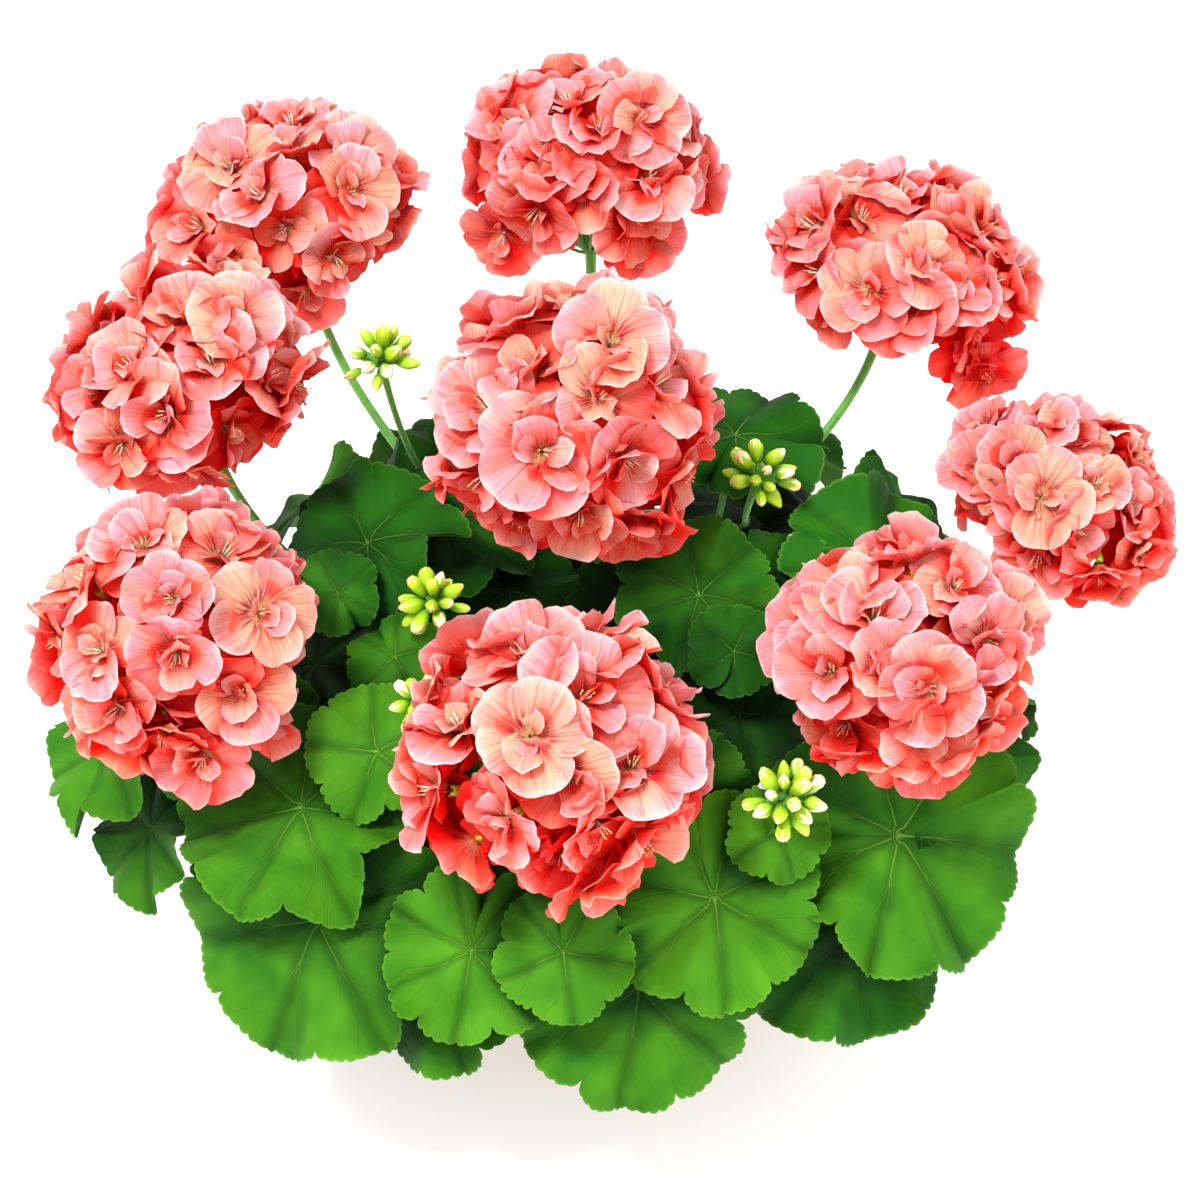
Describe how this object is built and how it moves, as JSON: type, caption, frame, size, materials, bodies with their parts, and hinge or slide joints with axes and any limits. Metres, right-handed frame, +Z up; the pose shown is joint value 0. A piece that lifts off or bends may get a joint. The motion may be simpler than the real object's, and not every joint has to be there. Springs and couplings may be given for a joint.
{
  "type": "potted zonal geranium",
  "caption": "Bushy zonal geranium in a tapered clay pot, with round scalloped leaves on long stalks, rounded coral flower heads held above them, and small clusters of closed buds.",
  "frame": {"origin": "middle of the pot's underside, on the surface that it stands on", "axes": "+Z up along the pot's axis, -Y towards the side that the picture shows, +X to the right as seen from there"},
  "size_m": [0.4444, 0.3864, 0.3461],
  "materials": {
    "clay": "matte, unglazed",
    "soil": "rough, crumbly",
    "foliage": "velvety",
    "petals": "soft, silky",
    "buds": "soft"
  },
  "bodies": {
    "root": {"pot": "clay", "potting_soil": "soil", "leafy_stem_front": "foliage", "leafy_stem_front_right": "foliage", "leafy_stem_right": "foliage", "leafy_stem_back_right": "foliage", "leafy_stem_back": "foliage", "leafy_stem_back_left": "foliage", "leafy_stem_left": "foliage", "leafy_stem_front_left": "foliage", "leafy_stem_middle": "foliage", "flower_head_front": "petals", "flower_head_front_right": "petals", "flower_head_right": "petals", "flower_head_back_right": "petals", "flower_head_back": "petals", "flower_head_back_left": "petals", "flower_head_left": "petals", "flower_head_front_left": "petals", "flower_head_middle": "petals", "bud_cluster_front_right": "buds", "bud_cluster_right": "buds", "bud_cluster_back_right": "buds", "bud_cluster_back_left": "buds", "bud_cluster_left": "buds", "bud_cluster_front_left": "buds"}
  },
  "joints": []
}
